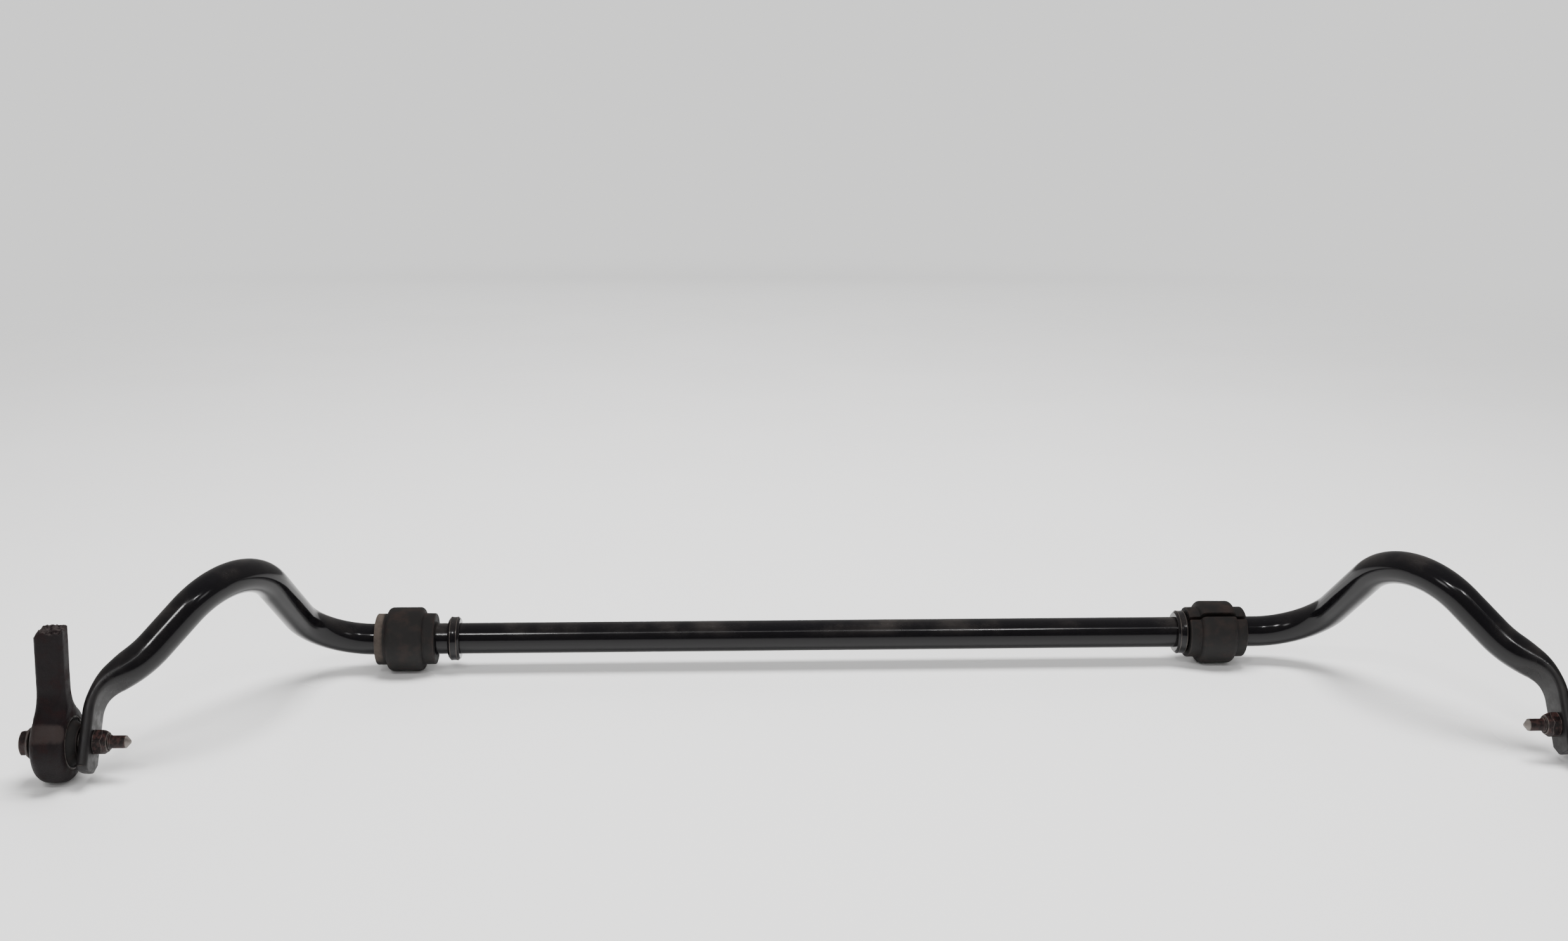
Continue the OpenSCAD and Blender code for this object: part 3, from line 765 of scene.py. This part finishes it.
def tornHeight(x, y, seed):
    # Height of the break over the shank's end, from its ragged ridges; x runs towards the bar
    s = tear
    rough = noise.fractal(Vector((x * s["grain"], y * s["grain"], seed)), 0.8, 2.1, 5) * s["grainHigh"]
    ridge = abs(noise.noise(Vector((x * s["ridge"][0] + seed, y * s["ridge"][1], 4.2)))) * s["ridgeHigh"]
    corner = s["corner"] * smoothstep((-x - s["cornerAt"]) / s["cornerFade"])
    front = s["front"] * smoothstep((-y - s["frontAt"]) / s["frontFade"])
    front *= smoothstep((x - s["frontFrom"]) / s["frontEase"])
    rise = min(s["highest"], s["slope"] * x + rough - ridge - corner - front)
    return link["height"] - s["below"] + rise


def linkBlank(eye, side):
    # Eye and shank in one skin, softened where they meet
    s = link
    half, r = s["eyeThick"] / 2, s["rim"]
    disc = [(-half, s["axis"])] + arc(-half + r, s["eyeRadius"] - r, r, 180, 90, 8)
    disc += arc(half - r, s["eyeRadius"] - r, r, 90, 0, 8) + [(half, s["axis"])]
    body = revolved("linkEye", disc, eye, 120)
    piece = tube("dropLink_" + side, shankRows(eye, sides[side]))
    joined = piece.modifiers.new("union", "BOOLEAN")
    joined.operation = "UNION"
    joined.object = body
    joined.solver = "EXACT"
    remade = piece.modifiers.new("remesh", "REMESH")
    remade.mode = "VOXEL"
    remade.voxel_size = s["voxel"]
    relaxed = piece.modifiers.new("relax", "SMOOTH")
    relaxed.factor = 0.5
    relaxed.iterations = s["smooth"]
    applied(piece)
    bpy.data.objects.remove(body)
    return piece


def tearOff(piece, eye, side):
    # The shank's top drops to the break, and the rest of the skin gets its forged unevenness
    s = link
    lean = leanAt(s["height"] - tear["leanFrom"], sides[side])
    moved = []
    torn = []
    for v in piece.data.vertices:
        q = v.co - eye
        edge = tornHeight(-sides[side] * (q.x - lean), q.y, s["seed"][side])
        torn.append(smoothstep((q.z - edge + tear["edge"]) / tear["edge"]))
        place = v.co + v.normal * min(0, noise.noise(v.co * s["dentsPerMetre"]) * s["dents"])
        place.z = min(place.z, eye.z + edge)
        moved.extend(place)
    piece.data.vertices.foreach_set("co", moved)
    setMark(piece, "torn", torn)


# Painted highlight on the eye: its middle, forward and up from the eye's centre, and how far it reaches
paintedEyeHighlight = {"front": 24 * mm, "up": 17 * mm, "reach": 11 * mm}


def makeLink(side, material):
    s = link
    node = "link_" + side
    eye = nodeCentre("link_rubber_" + side)
    eye.x = nodeCentre("bush_shell_" + side).x
    piece = linkBlank(eye, side)
    tearOff(piece, eye, side)
    half, radius, mouth = s["eyeThick"] / 2, s["boreRadius"], s["mouth"]
    straight = half - s["mouthIn"]
    flare = [(half + mouth, radius + mouth), (half + mouth, 1 * mm)]
    bore = [(-x, r) for x, r in flare[::-1]] + [(-straight, radius), (straight, radius)] + flare
    cut(piece, revolved("bore", bore, eye))
    # Painted highlight, paler towards the front and top of the eye
    rubbedAndHighlight = []
    for v in piece.data.vertices:
        fromMiddle = (v.co.y - eye.y + paintedEyeHighlight["front"]) ** 2 + (v.co.z - eye.z - paintedEyeHighlight["up"]) ** 2
        rubbedAndHighlight.append(smoothstep(1 - fromMiddle / paintedEyeHighlight["reach"] ** 2))
    setMark(piece, "paintedEyeHighlight", rubbedAndHighlight)
    finishPiece(piece, material, node, node, 45)


bushParts = {
    "shellWall": 1.5 * mm, "press": 0.01 * mm, "shellRim": 0.4 * mm, "sleeveRadius": 9.5 * mm,
    "sleeveRim": 0.7 * mm, "boltHole": 6.4 * mm, "rubberGap": 0.06 * mm, "lip": 3 * mm, "lipEnd": 1 * mm,
    "lipRound": 0.9 * mm, "bulge": 0.9 * mm, "inset": 1.4 * mm, "around": 128, "dust": 0.1}


def rubberLip(reach, half, sleeve, inner):
    # From the lip's end by the sleeve, over its swell, down into the shell's mouth
    s = bushParts
    end = sleeve + s["lip"]
    points = [(reach - 0.5 * mm, sleeve), (reach, sleeve + 0.5 * mm), (reach, end - s["lipEnd"])]
    points += arc(reach - s["lipRound"], end - s["lipEnd"], s["lipRound"], 15, 80, 4)
    for t in np.linspace(0.12, 1, 8):
        bulge = s["bulge"] * math.sin(math.pi * t)
        points.append((mixed(reach - 0.6 * mm, half - s["inset"], t) + bulge,
                       mixed(end, inner - s["inset"], t)))
    return points + [(half - 1.5 * mm, inner - 0.7 * mm), (half - 0.9 * mm, inner - 0.1 * mm)]


def squareRing(half, inner, outer, rim):
    # A ring's profile, its four corners cut by the rim
    return [(-half + rim, inner), (-half, inner + rim), (-half, outer - rim), (-half + rim, outer),
            (half - rim, outer), (half, outer - rim), (half, inner + rim), (half - rim, inner)]


def makeLinkBush(side, rubberFinish, steelFinish):
    s = bushParts
    body = "link_" + side
    node = "bush_shell_" + side
    eye = nodeCentre(node)
    half = link["eyeThick"] / 2
    outer = link["boreRadius"] - s["press"]
    inner = outer - s["shellWall"]
    piece = revolved("bushShell_" + side, squareRing(half, inner, outer, s["shellRim"]), eye, s["around"])
    finishPiece(piece, steelFinish, node, body, 30)

    node = "link_rubber_" + side
    low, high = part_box(node)
    sleeve = s["sleeveRadius"] + s["rubberGap"]
    profile = rubberLip(high.x - eye.x, half, sleeve, inner)
    profile += [(-x, q) for x, q in rubberLip(eye.x - low.x, half, sleeve, inner)[::-1]]
    piece = revolved("linkRubber_" + side, profile, eye, s["around"])
    finishPiece(piece, rubberFinish, node, body, 60)
    setMark(piece, "dust", [s["dust"]] * len(piece.data.vertices))

    node = "inner_sleeve_" + side
    low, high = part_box(node)
    wall = squareRing((high.x - low.x) / 2, s["boltHole"], s["sleeveRadius"], s["sleeveRim"])
    piece = revolved("innerSleeve_" + side, wall, nodeCentre(node))
    finishPiece(piece, steelFinish, node, "bar", 30)


bolt = {
    "across": 18 * mm, "corner": 0.45 * mm, "crownAt": 0.93, "crownFrom": 0.94, "crownSlope": 28,
    "flange": 24 * mm, "flangeThick": 1.6 * mm, "flangeCone": 1.6 * mm, "flangeRim": 0.4 * mm,
    "head": 7.8 * mm, "dish": 0.5 * mm, "dishRadius": 5 * mm, "radius": 6 * mm, "pitch": 1.75 * mm,
    "threadDeep": 0.75 * mm, "threaded": 26 * mm, "threadRows": 9, "threadIn": 3 * mm,
    "threadOut": 0.9 * mm, "threadFall": 0.7 * mm, "pilot": 4.9 * mm, "pilotLong": 11 * mm,
    "cone": 3.6 * mm, "tipFade": 0.4 * mm, "turn": 0.3, "around": 96}


def hexReach(turn, across, corner):
    # Distance to a hexagon's side, its corners worn round
    return min(across / 2 / math.cos((turn + math.pi / 6) % (math.pi / 3) - math.pi / 6),
               across / math.sqrt(3) - corner)


def threadRadius(along, turn, depth):
    # Radius of the thread's skin at a distance along the bolt
    share = (along / bolt["pitch"] - turn / (2 * math.pi)) % 1
    tooth = min(1, max(0, 2.6 * (0.5 - abs(share - 0.5)) - 0.15))
    return bolt["radius"] - depth * tooth


def turnedRows(rows, start, sign, offset):
    # Points of each row, a function of the turn that gives (along, radius) from the start to the tip
    turns = [2 * math.pi * i / bolt["around"] for i in range(bolt["around"])]
    made = []
    for row in rows:
        made.append([])
        for turn in turns:
            along, radius = row(turn)
            y, z = around(radius, turn + offset)
            made[-1].append((start.x - sign * along, start.y + y, start.z + z))
    return made


def plainRow(along, radius):
    return lambda turn: (along, radius)


def sideRow(hexagon, along):
    return lambda turn: (along, hexagon(turn))


def boltHex(turn):
    return hexReach(turn, bolt["across"], bolt["corner"])


def crownRow(share):
    # Part of the way from the head's flat end to its hexagon, lower where the corners reach out
    s = bolt
    flat = s["across"] / 2 * s["crownAt"]
    last = 0.12 * mm if share == 1 else 0

    def row(turn):
        radius = mixed(flat, boltHex(turn), share)
        beyond = max(0, radius - s["across"] / 2 * s["crownFrom"])
        return beyond * math.tan(math.radians(s["crownSlope"])) + last, radius

    return row


def headRows():
    s = bolt
    flat = s["across"] / 2 * s["crownAt"]
    rows = [plainRow(s["dish"], 0.3 * mm), plainRow(s["dish"], s["dishRadius"] - 0.6 * mm),
            plainRow(0.08 * mm, s["dishRadius"] + 0.2 * mm), plainRow(0, s["dishRadius"] + 0.8 * mm),
            plainRow(0, flat)]
    rows += [crownRow(share) for share in (0.35, 0.7, 0.93, 1)]
    back = s["head"] - s["flangeThick"]
    seat = back - s["flangeCone"]
    rows += [sideRow(boltHex, along) for along in (2.2 * mm, 3.2 * mm, seat - 0.3 * mm)]
    rim, outer = s["flangeRim"], s["flange"] / 2
    rows += [lambda turn: (seat + 0.2 * mm, boltHex(turn) + 0.25 * mm),
             lambda turn: (seat + 0.75 * mm, mixed(boltHex(turn), outer, 0.5)),
             plainRow(back, outer - 0.35 * mm), plainRow(back + rim, outer),
             plainRow(s["head"] - rim, outer), plainRow(s["head"], outer - rim),
             plainRow(s["head"], s["radius"] + 0.3 * mm),
             plainRow(s["head"] + 0.3 * mm, s["radius"])]
    return rows


def threadRow(along, start, end):
    # One row of the thread, which grows in at its start and falls away at its end
    s = bolt
    deep = s["threadDeep"] * min(1, (along - start) / s["threadIn"], (end - along) / s["threadOut"])
    fall = max(0, 1 - (end - along) / s["threadOut"]) * s["threadFall"]
    return lambda turn: (along, threadRadius(along, turn, deep) - fall)


def tipRows(start, length):
    # The plain pilot and its cone
    s = bolt
    cone = length - s["cone"]
    rows = [plainRow(start, s["pilot"] + 0.15 * mm), plainRow(start + 0.4 * mm, s["pilot"])]
    rows += [plainRow(start + s["pilotLong"] * t, s["pilot"]) for t in (0.3, 0.6, 0.94)]
    return rows + [plainRow(cone + 0.1 * mm, s["pilot"] - 0.12 * mm),
                   plainRow(cone + 0.5 * mm, s["pilot"] - 0.6 * mm),
                   plainRow(length - 0.5 * mm, 1.55 * mm), plainRow(length - 0.1 * mm, 1.0 * mm),
                   plainRow(length, 0.5 * mm)]


def makeBolt(side, material):
    s = bolt
    node = "bolt_" + side
    sign = sides[side]
    low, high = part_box(node)
    length = high.x - low.x
    start = nodeCentre(node)
    start.x = high.x if sign > 0 else low.x
    pilotStart = length - s["cone"] - s["pilotLong"]
    threadStart = pilotStart - s["threaded"]
    alongs = np.arange(threadStart, pilotStart - 0.2 * mm, s["pitch"] / s["threadRows"])
    rows = headRows() + [plainRow(threadStart, s["radius"])]
    rows += [threadRow(along, threadStart, pilotStart) for along in alongs]
    rows += tipRows(pilotStart, length)
    piece = tube("flangeBolt_" + side, turnedRows(rows, start, sign, s["turn"] * sign))
    finishPiece(piece, material, node, "bar", 32)
    tip = []
    for v in piece.data.vertices:
        along = (start.x - v.co.x) * sign
        tip.append(smoothstep((along - length + s["cone"] + 0.1 * mm) / s["tipFade"]))
    setMark(piece, "tip", tip)


nut = {
    "across": 18 * mm, "corner": 0.3 * mm, "cone": 3.2 * mm, "crown": 7.4 * mm, "bore": 6.04 * mm,
    "boreRim": 0.5 * mm, "seatAt": 0.93, "seatFrom": 0.96, "seatSlope": 0.5, "crownSlope": 0.75,
    "rimDrop": 0.15 * mm, "turn": 0.45}


def nutHex(turn):
    return hexReach(turn, nut["across"], nut["corner"])


def coneRow(height, share):
    # Part of the way from the hexagon's top to the crown's rim, lower where the corners reach out
    s = nut
    top = height - s["cone"] * (1 - share) - (s["rimDrop"] if share == 1 else 0)

    def row(turn):
        drop = (nutHex(turn) - s["across"] / 2) * s["crownSlope"] * (1 - share)
        return top - drop, mixed(nutHex(turn), s["crown"], share)

    return row


def makeNut(side, material):
    s = nut
    node = "nut_" + side
    sign = sides[side]
    low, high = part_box(node)
    height = high.x - low.x
    start = nodeCentre(node)
    start.x = high.x if sign > 0 else low.x
    half, rim = s["across"] / 2, s["boreRim"]
    rows = [plainRow(rim, s["bore"]), plainRow(0, s["bore"] + 0.6 * mm), plainRow(0, half * s["seatAt"]),
            lambda turn: (max(0, nutHex(turn) - half * s["seatFrom"]) * s["seatSlope"], nutHex(turn))]
    rows += [sideRow(nutHex, along) for along in (1.6 * mm, 3 * mm, 4.5 * mm, 6 * mm)]
    rows += [coneRow(height, share) for share in (0, 0.12, 0.4, 0.7, 0.93, 1)]
    rows += [plainRow(height, s["crown"] - rim), plainRow(height, s["bore"] + rim),
             plainRow(height - rim, s["bore"])]
    piece = tube("lockNut_" + side, turnedRows(rows, start, sign, s["turn"] * sign), True)
    finishPiece(piece, material, node, "bar", 32)


paint = makeBlackPaint()
rubberFinish = makeRubber()
forgingFinish = makeForging()
steelFinish = makeZincSteel()
boltFinish = makeFastener("rustyBolt", 1.0, 0.75)
nutFinish = makeFastener("brownNut", 0.6, 0.0)
print("finishes made")

makeBar(paint)
print("bar made")
for side in sides:
    makeStopRing(side, paint)
    makeBush(side, rubberFinish)
    makeLink(side, forgingFinish)
    makeLinkBush(side, rubberFinish, steelFinish)
    makeBolt(side, boltFinish)
    makeNut(side, nutFinish)
    print("pieces made on the", side)
